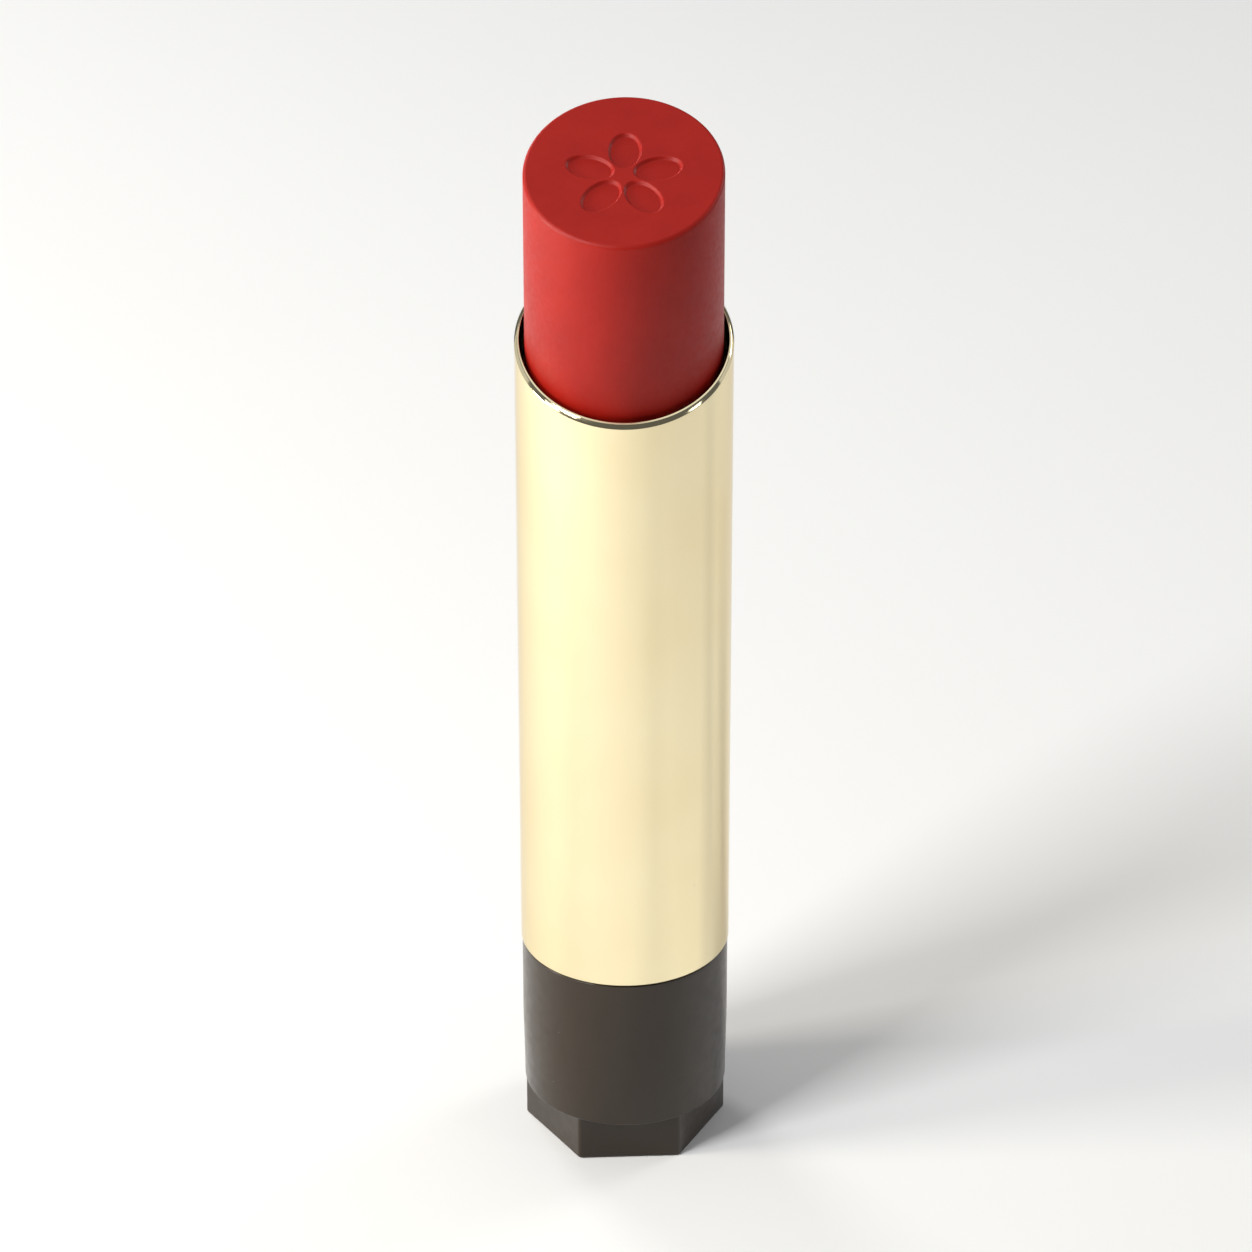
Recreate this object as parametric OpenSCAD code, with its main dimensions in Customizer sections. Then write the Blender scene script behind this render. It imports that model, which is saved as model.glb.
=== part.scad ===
// Twist-up lipstick cartridge, drawn with the bullet wound fully out.
// The origin is the middle of the foot's underside, +Z is up and the low side of the slants faces -Y.
// Holding the sleeve and turning the base winds the bullet up and down.

/* [Bullet] */
// Diameter of the bullet
bullet_d = 12.7; // [10.5:0.1:15.5]
// Slope of the bullet's flat tip, in degrees
tip_slant = 20; // [0:1:30]
// Turn of the tip about the axis, in degrees
tip_turn = -2.5; // [-10:0.5:10]
// Height of the middle of the tip above the middle of the sleeve's rim
bullet_out = 11.6; // [6:0.1:16]
// Length of the bullet's stepped tail, which the cup holds
tail_len = 12; // [8:0.5:16]

/* [Sleeve] */
// Wall of the metal sleeve
sleeve_wall = 0.3; // [0.2:0.05:0.6]
// Slope of the sleeve's rim, in degrees
rim_slant = 22; // [0:1:30]
// Gap between the bullet and the sleeve's bore
bullet_gap = 0.35; // [0.3:0.05:0.8]
// Depth of the cup's lip below the lowest point of the rim
cup_depth = 1; // [0.5:0.1:3]

/* [Cup] */
// Wall of the cup's bowl
bowl_wall = 0.5; // [0.35:0.05:0.8]
// Floor of the cup's bowl
bowl_floor = 1; // [0.6:0.1:2]
// Ribs inside the bowl that grip the bullet's tail
grip_ribs = 6; // [3:1:8]
// Height of each grip rib above the bowl's wall
rib_h = 0.3; // [0.2:0.05:0.5]
// Width of each grip rib
rib_w = 0.6; // [0.4:0.1:1]
// Vent hole in the bowl's floor
vent_d = 2; // [1:0.1:3]
// Wall of the cup's hollow stem
stem_wall = 0.8; // [0.6:0.1:1.2]
// Diameter of the two lugs on the stem
lug_d = 2; // [1.6:0.1:2.6]

/* [Mechanism] */
// Distance that the bullet travels
travel = 14; // [10:0.5:17]
// Rise of the bullet in one whole turn of the base
lead = 11.2; // [9.5:0.1:16]
// Wall of the slotted guide tube
guide_wall = 0.6; // [0.5:0.05:0.9]
// Depth of the spiral tube's two grooves
groove_depth = 0.65; // [0.5:0.05:0.9]
// Wall left outside the grooves
groove_skin = 0.45; // [0.3:0.05:0.7]
// Thickness of the guide tube's flange, which is fixed in the sleeve
flange_t = 1.3; // [0.8:0.1:2]
// Thickness of the retaining ring
ring_t = 0.54; // [0.4:0.02:0.8]
// Width of the retaining ring, from bore to rim
ring_w = 1; // [0.8:0.1:1.2]

/* [Base] */
// Height of the base up to the joint with the sleeve
base_h = 14.4; // [11:0.1:18]
// Height of the hexagonal foot
foot_h = 3.2; // [2:0.1:5]
// Turn of the foot's flats about the axis, in degrees
foot_turn = 2.7; // [-30:0.1:30]
// How much slimmer than the sleeve the barrel is, on the radius
barrel_step = 0.08; // [0.02:0.02:0.4]
// How much the barrel narrows towards the foot, on the radius
barrel_taper = 0.1; // [0.02:0.02:0.4]
// Height of the barrel's straight upper band
band_h = 6; // [4:0.1:7]
// How far the foot's corners stand in from the barrel
foot_inset = 0.08; // [0.05:0.01:0.6]
// How far the foot's sharp corners are cut back, on the radius
corner_cut = 0.06; // [0.02:0.01:0.3]
// Wall of the spigot that the sleeve turns on
spigot_wall = 0.5; // [0.4:0.05:0.7]
// Height of the spigot above the joint
spigot_h = 5.5; // [3:0.5:7]

/* [Foot] */
// Radius of the weight's pocket
pocket_r = 4.8; // [3.6:0.1:4.9]
// Height of the weight
weight_h = 2.8; // [1.5:0.1:4]
// Thickness of the plug that closes the pocket
plug_t = 0.75; // [0.5:0.05:1.2]
// Thickness of the shade label
label_t = 0.1; // [0.05:0.01:0.2]
// Depth of the label below the foot's underside
label_recess = 0.15; // [0.1:0.05:0.5]
// Thickness of the floor between the weight and the mechanism
floor_t = 0.7; // [0.5:0.1:1.5]

/* [Hidden] */
$fn = 96;

// Clearances, each on the radius or between two faces
bowl_run = 0.15;      // bowl inside the sleeve
tail_fit = 0.05;      // bullet's tail inside the bowl
rib_fit = 0.05;       // grip rib inside its slot in the tail
sleeve_run = 0.08;    // sleeve round the spigot
spiral_fit = 0.02;    // spiral tube pressed into the base
guide_run = 0.1;      // guide tube inside the spiral tube
stem_run = 0.1;       // stem inside the guide tube
flange_fit = 0.02;    // flange glued into the sleeve
lug_run = 0.1;        // lug in its slot and in its groove
lug_tip_gap = 0.07;   // lug's end to the groove's floor
oring_run = 0.03;     // drag ring to the sleeve and to the spiral tube
thrust_gap = 0.1;     // flange above the spiral tube
ring_run = 0.15;      // retaining ring to the base and to the spiral tube
ring_fit = 0.02;      // retaining ring on the guide tube
seam_gap = 0.12;      // visible joint between the base and the sleeve
head_gap = 0.4;       // bowl above the flange when the bullet is down
plug_fit = 0.02;      // plug pressed into the foot
weight_fit = 0.1;     // weight loose in its pocket
stack_gap = 0.05;     // weight above the plug and below the floor
eps = 0.01;           // overshoot of a cut past the face that it opens
lot = 40;             // larger than any cross-section

// Radii, from the outside inwards
bullet_r = bullet_d / 2;
bore_r = bullet_r + bullet_gap;
sleeve_r = bore_r + sleeve_wall;
bowl_r = bore_r - bowl_run;
bowl_in_r = bowl_r - bowl_wall;
tail_r = bowl_in_r - tail_fit;
spigot_r = bore_r - sleeve_run;
socket_r = spigot_r - spigot_wall;
spiral_r = socket_r - spiral_fit;
groove_r = spiral_r - groove_skin;
spiral_in_r = groove_r - groove_depth;
guide_r = spiral_in_r - guide_run;
guide_in_r = guide_r - guide_wall;
stem_r = guide_in_r - stem_run;
stem_in_r = stem_r - stem_wall;
lug_tip_r = groove_r - lug_tip_gap;
ring_in_r = guide_r - 0.3;
ring_out_r = ring_in_r + ring_w;
well_r = ring_out_r + ring_run;
barrel_r = sleeve_r - barrel_step;
ankle_r = barrel_r - barrel_taper;
foot_r = ankle_r - foot_inset;
hex_r = foot_r + corner_cut;

// Heights, from the foot upwards, with the bullet out
label_z = label_recess;
plug_z = label_z + label_t;
weight_z = plug_z + plug_t + stack_gap;
pocket_z = weight_z + weight_h + stack_gap;
floor_z = pocket_z + floor_t;
guide_z = floor_z + 0.2;
ring_z = guide_z + 0.4;
seat_z = ring_z + ring_t + ring_run;
lug_low_z = seat_z + lug_d / 2 + 1.1;
lug_z = lug_low_z + travel;
spiral_top = lug_z + lug_d / 2 + 3.4;
flange_z = spiral_top + thrust_gap;
guide_top = flange_z + flange_t;
bowl_z = guide_top + head_gap + travel;
tail_z = bowl_z + bowl_floor + stack_gap;
lip_z = tail_z + tail_len;
rim_z = lip_z + cup_depth + bore_r * tan(rim_slant);
tip_z = rim_z + bullet_out;
seam_z = base_h + seam_gap;
spigot_top = base_h + spigot_h;

// Drag ring, between the spigot's end and the spiral tube's collar
oring_r = (bore_r - spiral_r) / 2 - oring_run;
oring_mid_r = (bore_r + spiral_r) / 2;
oring_z = spigot_top + oring_run + oring_r;
collar_z = oring_z + oring_r + stack_gap;
collar_h = 0.6;

// A helical groove is as tall as the lug needs at the groove's mouth, where it is steepest
pitch_slope = lead / (2 * PI * spiral_in_r);
groove_h = 2 * (lug_d / 2 * sqrt(1 + pitch_slope * pitch_slope) + lug_run);
groove_deg = groove_h / lead * 360;
slice_deg = 10;

module tube(r_out, r_in, z_low, z_high) {
    translate([0, 0, z_low])
        difference() {
            cylinder(r = r_out, h = z_high - z_low);
            translate([0, 0, -eps])
                cylinder(r = r_in, h = z_high - z_low + 2 * eps);
        }
}

module disc(r, z_low, h) {
    translate([0, 0, z_low])
        cylinder(r = r, h = h);
}

// Everything above a plane that rises towards +Y
module above_slant(z_mid, slant, turn) {
    translate([0, 0, z_mid])
        rotate([slant, 0, turn])
            translate([-lot / 2, -lot / 2, 0])
                cube(lot);
}

// One helical groove, left-handed, whose middle lies on +X at the height of the raised lug
module groove(z_low, z_high) {
    rise = z_high - z_low;
    twist_deg = rise / lead * 360;
    half = groove_deg / 2;
    inner = spiral_in_r - 1;
    outer = spiral_r + 0.6;
    translate([0, 0, z_low])
        rotate([0, 0, (lug_z - z_low) / lead * 360])
            linear_extrude(height = rise, twist = twist_deg, slices = ceil(twist_deg / slice_deg), $fn = 5)
                polygon([
                    [inner * cos(half), -inner * sin(half)],
                    [outer * cos(half), -outer * sin(half)],
                    [outer, 0],
                    [outer * cos(half), outer * sin(half)],
                    [inner * cos(half), inner * sin(half)]
                ]);
}

// Foot, barrel and spigot in one moulding
module base_shell() {
    color([0.16, 0.13, 0.11])
        difference() {
            union() {
                intersection() {
                    rotate([0, 0, foot_turn])
                        cylinder(r = hex_r, h = foot_h, $fn = 6);
                    cylinder(r = foot_r, h = foot_h);
                }
                translate([0, 0, foot_h])
                    cylinder(r1 = ankle_r, r2 = barrel_r, h = base_h - band_h - foot_h);
                disc(barrel_r, base_h - band_h, band_h);
                disc(spigot_r, base_h, spigot_h);
            }
            disc(pocket_r, -eps, pocket_z + eps);
            disc(well_r, floor_z, lot);
            disc(socket_r, seat_z, lot);
        }
}

// Grooved cam that is pressed into the base and winds the cup's lugs up and down
module spiral_tube() {
    color([0.85, 0.83, 0.78])
        difference() {
            union() {
                disc(spiral_r, seat_z, spiral_top - seat_z);
                disc(bore_r - bowl_run, collar_z, collar_h);
            }
            disc(spiral_in_r, seat_z - eps, lot);
            intersection() {
                tube(groove_r, spiral_in_r - 0.5, seat_z - eps, spiral_top + eps);
                union() {
                    for (side = [0, 180])
                        rotate([0, 0, side])
                            groove(lug_low_z - groove_h / 2 - lug_run, spiral_top + 1);
                }
            }
        }
}

// Silicone ring that gives the turn its drag
module drag_ring() {
    color([0.2, 0.2, 0.21])
        translate([0, 0, oring_z])
            rotate_extrude()
                translate([oring_mid_r, 0])
                    circle(r = oring_r, $fn = 32);
}

// Slug of metal that keeps the centre of mass low
module base_weight() {
    color([0.72, 0.7, 0.66])
        disc(pocket_r - weight_fit, weight_z, weight_h);
}

module foot_plug() {
    color([0.18, 0.15, 0.13])
        disc(pocket_r - plug_fit, plug_z, plug_t);
}

module shade_label() {
    color([0.7, 0.12, 0.12])
        disc(pocket_r - weight_fit, label_z, label_t);
}

// Drawn metal tube whose rim is cut on the slant
module gold_sleeve() {
    color([0.93, 0.86, 0.68])
        difference() {
            tube(sleeve_r, bore_r, seam_z, rim_z + sleeve_r);
            above_slant(rim_z, rim_slant, 0);
        }
}

// Tube with two straight slots, which keeps the cup from turning in the sleeve
module guide_tube() {
    color([0.88, 0.87, 0.84])
        difference() {
            union() {
                tube(guide_r, guide_in_r, guide_z, guide_top);
                tube(bore_r - flange_fit, guide_in_r, flange_z, guide_top);
            }
            translate([-lot / 2, -lug_d / 2 - lug_run, lug_low_z - lug_d / 2 - 2 * lug_run])
                cube([lot, lug_d + 2 * lug_run, travel + lug_d + 4 * lug_run]);
            tube(guide_r + 1, ring_in_r - ring_fit, ring_z - ring_fit, ring_z + ring_t + ring_fit);
        }
}

// Split ring that holds the guide tube down in the base
module retaining_ring() {
    color([0.75, 0.75, 0.73])
        difference() {
            tube(ring_out_r, ring_in_r, ring_z, ring_z + ring_t);
            translate([0, -ring_out_r / 4, ring_z - eps])
                cube([lot, ring_out_r / 2, ring_t + 2 * eps]);
        }
}

// Bowl for the bullet on a hollow stem with two lugs
module bullet_cup() {
    color([0.9, 0.89, 0.86])
        union() {
            difference() {
                disc(bowl_r, bowl_z, lip_z - bowl_z);
                disc(bowl_in_r, bowl_z + bowl_floor, lot);
                disc(vent_d / 2, bowl_z - eps, lot);
            }
            intersection() {
                tube(bowl_r - bowl_wall / 2, bowl_in_r - rib_h, bowl_z + bowl_floor / 2, lip_z - 1);
                for (i = [0 : grip_ribs - 1])
                    rotate([0, 0, i * 360 / grip_ribs])
                        translate([0, -rib_w / 2, bowl_z])
                            cube([bowl_r, rib_w, lip_z - bowl_z]);
            }
            tube(stem_r, stem_in_r, lug_z - lug_d / 2 - 0.2, bowl_z + bowl_floor / 2);
            difference() {
                intersection() {
                    disc(lug_tip_r, lug_z - lug_d, 2 * lug_d);
                    translate([-lot / 2, 0, lug_z])
                        rotate([0, 90, 0])
                            cylinder(d = lug_d, h = lot, $fn = 48);
                }
                disc(stem_in_r, lug_z - 2 * lug_d, 4 * lug_d);
            }
        }
}

// Stick of lip colour, with a slanted tip and a tail stepped down to fit the bowl
module lipstick_bullet() {
    color([0.68, 0.13, 0.13])
        difference() {
            union() {
                disc(bullet_r, lip_z, tip_z + bullet_r - lip_z);
                disc(tail_r, tail_z, tail_len + eps);
            }
            above_slant(tip_z, tip_slant, tip_turn);
            for (i = [0 : grip_ribs - 1])
                rotate([0, 0, i * 360 / grip_ribs])
                    translate([bowl_in_r - rib_h - rib_fit, -rib_w / 2 - rib_fit, tail_z - eps])
                        cube([lot, rib_w + 2 * rib_fit, tail_len - 1 + rib_fit]);
        }
}

base_shell();
spiral_tube();
drag_ring();
base_weight();
foot_plug();
shade_label();
gold_sleeve();
guide_tube();
retaining_ring();
bullet_cup();
lipstick_bullet();
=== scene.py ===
"""Looks of a twist-up lipstick cartridge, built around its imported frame.

The bullet, the sleeve, the base shell and the small parts of the foot are lofted here; the moulded
mechanism keeps its own shape and gets its finish. Lengths are metres, in the frame of the part.
"""
import logging
import math
from dataclasses import dataclass, field
from enum import Enum
from typing import Callable, ClassVar, Protocol, Union

import bpy
from mathutils import Matrix, Vector


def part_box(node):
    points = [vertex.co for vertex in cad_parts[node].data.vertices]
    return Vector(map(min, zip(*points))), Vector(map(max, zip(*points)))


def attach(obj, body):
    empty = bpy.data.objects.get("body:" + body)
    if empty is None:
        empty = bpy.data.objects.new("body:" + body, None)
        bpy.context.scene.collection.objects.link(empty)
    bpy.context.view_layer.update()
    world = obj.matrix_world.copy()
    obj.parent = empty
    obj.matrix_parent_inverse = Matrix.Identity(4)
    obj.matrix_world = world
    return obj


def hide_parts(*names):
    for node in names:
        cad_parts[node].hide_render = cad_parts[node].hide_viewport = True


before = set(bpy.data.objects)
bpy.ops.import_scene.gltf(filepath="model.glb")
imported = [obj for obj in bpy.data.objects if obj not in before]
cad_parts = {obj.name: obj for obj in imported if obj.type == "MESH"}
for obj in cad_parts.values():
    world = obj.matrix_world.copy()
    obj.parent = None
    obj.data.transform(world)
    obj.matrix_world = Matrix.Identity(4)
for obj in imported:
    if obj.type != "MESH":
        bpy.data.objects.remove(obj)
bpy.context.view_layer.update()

MM = 0.001
SMOOTH_BELOW = math.radians(32)

log = logging.getLogger("lipstick")

# A radius, or a function that gives it for an angle about the axis
Measure = Union[float, Callable[[float], float]]
# A height, or a function that gives it for a point (x, y)
Level = Union[float, Callable[[float, float], float]]
Colour = tuple[float, float, float]


# ---------------------------------------------------------------------------------------------
# Frame
# ---------------------------------------------------------------------------------------------

class Body(Enum):
    """The bodies that pieces ride on."""

    BASE = "base"
    SLEEVE = "sleeve"
    CARRIAGE = "carriage"


class Side(Enum):
    """Which corner of a node's box a height is read from."""

    LOW = 0
    HIGH = 1


def edge_height(node: str, side: Side) -> float:
    """Read the lowest or highest point of a CAD node.

    Args:
        node: Name of the CAD node.
        side: Whether the lowest or the highest point is wanted.

    Returns:
        The height above the table, in metres.
    """
    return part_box(node)[side.value].z


def node_radius(node: str) -> float:
    """Read the radius of a round CAD node about the axis.

    Args:
        node: Name of the CAD node.

    Returns:
        Half of the node's width across X, in metres.
    """
    low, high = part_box(node)
    return (high.x - low.x) / 2


# ---------------------------------------------------------------------------------------------
# Lofting
# ---------------------------------------------------------------------------------------------

@dataclass(frozen=True)
class Slant:
    """A level that leans: it is lowest in front, towards -Y.

    Attributes:
        middle: Height on the axis.
        angle: Slope from level, in radians.
        turn: Turn of the low side about the axis, in radians.
    """

    middle: float
    angle: float
    turn: float = 0.0

    def height(self, x: float, y: float) -> float:
        """Return the height of the level above the point (x, y)."""
        uphill = y * math.cos(self.turn) - x * math.sin(self.turn)
        return self.middle + uphill * math.tan(self.angle)

    def offset(self, rise: float) -> Callable[[float, float], float]:
        """Return a level that runs parallel to this one, rise above it."""
        return lambda x, y: self.height(x, y) + rise


@dataclass(frozen=True)
class RoundedHexagon:
    """Outline of a hexagon with rounded corners, as a radius that varies round the axis.

    Attributes:
        apothem: Distance from the axis to each flat.
        corner: Radius of the rounded corners.
        turn: Turn of the flats about the axis, in radians.
    """

    apothem: float
    corner: float
    turn: float

    SIDES: ClassVar[int] = 6
    SECTOR: ClassVar[float] = 2 * math.pi / SIDES

    def radius(self, angle: float) -> float:
        """Return the outline's radius at an angle about the axis.

        Args:
            angle: Angle from +X, in radians.

        Returns:
            Distance from the axis to the outline.
        """
        from_flat = angle - self.turn - self.SECTOR / 2
        from_flat -= self.SECTOR * round(from_flat / self.SECTOR)
        half = self.SECTOR / 2
        flat_end = self.apothem * math.tan(half) - self.corner * math.tan(half)
        if self.apothem * math.tan(abs(from_flat)) <= flat_end:
            return self.apothem / math.cos(from_flat)
        centre = (self.apothem - self.corner) / math.cos(half)
        swing = half - abs(from_flat)
        return centre * math.cos(swing) + math.sqrt(self.corner ** 2 - (centre * math.sin(swing)) ** 2)

    def sample_angles(self, per_side: int) -> list[float]:
        """Spread angles round the outline, crowded together at its corners.

        Args:
            per_side: Number of steps along each side.

        Returns:
            Angles about the axis, in order, in radians.
        """
        angles = []
        for side in range(self.SIDES):
            middle = self.turn + self.SECTOR * (side + 0.5)
            for step in range(per_side):
                share = 2 * step / per_side - 1
                warped = math.copysign(1 - (1 - abs(share)) ** 2, share)
                angles.append(middle + warped * self.SECTOR / 2)
        return angles


def even_angles(count: int) -> list[float]:
    """Return count angles spread evenly round the axis."""
    return [2 * math.pi * i / count for i in range(count)]


def quarter_turn(steps: int) -> list[float]:
    """Return the angles of a quarter turn in equal steps, with both of its ends."""
    return [math.pi / 2 * step / steps for step in range(steps + 1)]


class Loft:
    """A closed skin drawn through rings of points, one after the other, about the Z axis."""

    CORNER_STEPS: ClassVar[int] = 4

    def __init__(self, angles: list[float]) -> None:
        """Start an empty skin whose rings all have points at these angles."""
        self.angles = angles
        self.rings: list[list[Vector]] = []

    def ring(self, radius: Measure, level: Level) -> "Loft":
        """Add one ring.

        Args:
            radius: The ring's radius, or a function that gives it for an angle.
            level: The ring's height, or a function that gives it for a point.

        Returns:
            This skin, so that calls can be chained.
        """
        points = []
        for angle in self.angles:
            r = radius(angle) if callable(radius) else radius
            x, y = r * math.cos(angle), r * math.sin(angle)
            z = level(x, y) if callable(level) else level
            points.append(Vector((x, y, z)))
        self.rings.append(points)
        return self

    def outer_corner(self, radius: float, level: float, size: float, up: bool = True) -> "Loft":
        """Round the outer edge between a wall and a level face.

        Args:
            radius: Radius of the wall.
            level: Height of the face.
            size: Radius of the rounding.
            up: True for a face on top of the wall, met from below; False for one under it, met from inside.

        Returns:
            This skin.
        """
        for swing in quarter_turn(self.CORNER_STEPS):
            if up:
                self.ring(radius - size + size * math.cos(swing), level - size + size * math.sin(swing))
            else:
                self.ring(radius - size + size * math.sin(swing), level + size - size * math.cos(swing))
        return self

    def solid(self, name: str, looped: bool = False,
              smooth_below: float = SMOOTH_BELOW) -> bpy.types.Object:
        """Make the skin into an object.

        Args:
            name: Name of the object.
            looped: True joins the last ring to the first; False closes both ends on the axis.
            smooth_below: Edges that turn by more than this, in radians, stay sharp.

        Returns:
            The new object, in the scene.
        """
        count = len(self.angles)
        points = [p for ring in self.rings for p in ring]
        faces = []
        spans = len(self.rings) if looped else len(self.rings) - 1
        for i in range(spans):
            here, there = i * count, (i + 1) % len(self.rings) * count
            for k in range(count):
                after = (k + 1) % count
                faces.append((here + k, here + after, there + after, there + k))
        if not looped:
            for ring_index, flip in ((0, True), (len(self.rings) - 1, False)):
                centre = sum(self.rings[ring_index], Vector()) / count
                points.append(centre)
                hub, start = len(points) - 1, ring_index * count
                for k in range(count):
                    pair = (start + k, start + (k + 1) % count)
                    faces.append((hub, *reversed(pair)) if flip else (hub, *pair))
        return add_mesh(name, points, faces, smooth_below)


def add_mesh(name: str, points: list[Vector], faces: list[tuple[int, ...]],
             smooth_below: float = SMOOTH_BELOW) -> bpy.types.Object:
    """Make a smooth-shaded mesh object whose sharp edges stay sharp.

    Args:
        name: Name of the object.
        points: Corner points.
        faces: Faces, as indices into the points.
        smooth_below: Edges that turn by more than this, in radians, stay sharp.

    Returns:
        The new object, in the scene.
    """
    mesh = bpy.data.meshes.new(name)
    mesh.from_pydata(points, [], faces)
    mesh.validate()
    mesh.shade_smooth()
    mesh.set_sharp_from_angle(angle=smooth_below)
    piece = bpy.data.objects.new(name, mesh)
    bpy.context.scene.collection.objects.link(piece)
    return piece


# ---------------------------------------------------------------------------------------------
# Finishes
# ---------------------------------------------------------------------------------------------

class Graph:
    """A material's node tree, with short calls for the nodes that the finishes share."""

    MIX_FIRST: ClassVar[int] = 6
    MIX_SECOND: ClassVar[int] = 7
    MIX_RESULT: ClassVar[int] = 2
    PATCH_LOW: ClassVar[float] = 0.35
    PATCH_HIGH: ClassVar[float] = 0.65
    SPECK_CORE: ClassVar[float] = 0.6

    def __init__(self, name: str) -> None:
        """Start a material with a Principled shader and object coordinates.

        Args:
            name: Name of the material.
        """
        self.material = bpy.data.materials.new(name)
        self.material.use_nodes = True
        self.tree = self.material.node_tree
        self.shader = self.tree.nodes["Principled BSDF"]
        self.place = self.tree.nodes.new("ShaderNodeTexCoord").outputs["Object"]

    def node(self, kind: str, **settings: object) -> bpy.types.Node:
        """Add a node.

        Args:
            kind: Blender's name for its type.
            settings: Properties to set on it.

        Returns:
            The node.
        """
        made = self.tree.nodes.new(kind)
        for key, value in settings.items():
            setattr(made, key, value)
        return made

    def link(self, source: bpy.types.NodeSocket, target: bpy.types.NodeSocket) -> None:
        """Join two sockets."""
        self.tree.links.new(source, target)

    def set(self, **values: object) -> None:
        """Set sockets of the Principled shader, with underscores for the spaces in their names."""
        for key, value in values.items():
            self.shader.inputs[key.replace("_", " ")].default_value = value

    def noise(self, per_mm: float, detail: float = 3.0,
              stretch: tuple[float, float, float] = (1, 1, 1)) -> bpy.types.NodeSocket:
        """Add a noise pattern.

        Args:
            per_mm: Spots in a millimetre.
            detail: Octaves of finer noise.
            stretch: Factors on the three coordinates.

        Returns:
            The noise's value, from 0 to 1.
        """
        mapping = self.node("ShaderNodeMapping")
        mapping.inputs["Scale"].default_value = stretch
        self.link(self.place, mapping.inputs["Vector"])
        noise = self.node("ShaderNodeTexNoise")
        noise.inputs["Scale"].default_value = per_mm / MM
        noise.inputs["Detail"].default_value = detail
        self.link(mapping.outputs["Vector"], noise.inputs["Vector"])
        return noise.outputs["Fac"]

    def specks(self, apart: float, size: float) -> bpy.types.NodeSocket:
        """Add sparse round specks.

        Args:
            apart: Usual distance between specks, in metres.
            size: Radius of a speck, in metres.

        Returns:
            A mask that is 1 on the specks and 0 between them.
        """
        cells = self.node("ShaderNodeTexVoronoi")
        cells.inputs["Scale"].default_value = 1 / apart
        self.link(self.place, cells.inputs["Vector"])
        rim = size / apart
        return self.span(cells.outputs["Distance"], low=rim, high=rim * self.SPECK_CORE)

    def span(self, value: bpy.types.NodeSocket, low: float, high: float, to_low: float = 0.0,
             to_high: float = 1.0) -> bpy.types.NodeSocket:
        """Map a value from one range to another, and clamp it there.

        Args:
            value: The value to map.
            low: Start of its range.
            high: End of its range.
            to_low: What the start becomes.
            to_high: What the end becomes.

        Returns:
            The mapped value.
        """
        remap = self.node("ShaderNodeMapRange")
        for key, number in (("From Min", low), ("From Max", high), ("To Min", to_low), ("To Max", to_high)):
            remap.inputs[key].default_value = number
        self.link(value, remap.inputs["Value"])
        return remap.outputs["Result"]

    def blend(self, mask: bpy.types.NodeSocket, first: object, second: object) -> bpy.types.NodeSocket:
        """Mix two colours by a mask.

        Args:
            mask: 0 gives the first colour and 1 the second.
            first: A colour, or a socket that gives one.
            second: A colour, or a socket that gives one.

        Returns:
            The mixed colour.
        """
        mix = self.node("ShaderNodeMix", data_type="RGBA")
        self.link(mask, mix.inputs["Factor"])
        for index, colour in ((self.MIX_FIRST, first), (self.MIX_SECOND, second)):
            socket = mix.inputs[index]
            if isinstance(colour, bpy.types.NodeSocket):
                self.link(colour, socket)
            else:
                socket.default_value = (*colour, 1.0)
        return mix.outputs[self.MIX_RESULT]

    def patches(self, pattern: bpy.types.NodeSocket, first: Colour, second: Colour) -> bpy.types.NodeSocket:
        """Return a colour that drifts between two, in soft patches of a pattern."""
        return self.blend(self.span(pattern, self.PATCH_LOW, self.PATCH_HIGH), first, second)

    def multiply(self, first: bpy.types.NodeSocket, second: bpy.types.NodeSocket) -> bpy.types.NodeSocket:
        """Multiply two values.

        Args:
            first: One value.
            second: The other value.

        Returns:
            Their product.
        """
        maths = self.node("ShaderNodeMath", operation="MULTIPLY")
        self.link(first, maths.inputs[0])
        self.link(second, maths.inputs[1])
        return maths.outputs["Value"]

    def relief(self, height: bpy.types.NodeSocket, depth: float, strength: float = 1.0,
               under: Union[bpy.types.NodeSocket, None] = None) -> bpy.types.NodeSocket:
        """Raise the surface by a pattern.

        Args:
            height: The pattern, from 0 to 1.
            depth: Its full height, in metres.
            strength: Share of the effect that shows.
            under: Normal of a relief below this one.

        Returns:
            The bumped normal, which is also linked to the shader.
        """
        bump = self.node("ShaderNodeBump")
        bump.inputs["Distance"].default_value = depth
        bump.inputs["Strength"].default_value = strength
        self.link(height, bump.inputs["Height"])
        if under is not None:
            self.link(under, bump.inputs["Normal"])
        self.link(bump.outputs["Normal"], self.shader.inputs["Normal"])
        return bump.outputs["Normal"]

    def colour(self, source: bpy.types.NodeSocket) -> None:
        """Link the surface's colour."""
        self.link(source, self.shader.inputs["Base Color"])

    def roughness(self, source: bpy.types.NodeSocket) -> None:
        """Link the surface's roughness."""
        self.link(source, self.shader.inputs["Roughness"])


class Finish(Protocol):
    """What a piece needs from its finish: the name of its slot and a material."""

    slot: str

    def material(self) -> bpy.types.Material:
        """Build the node material."""


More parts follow.
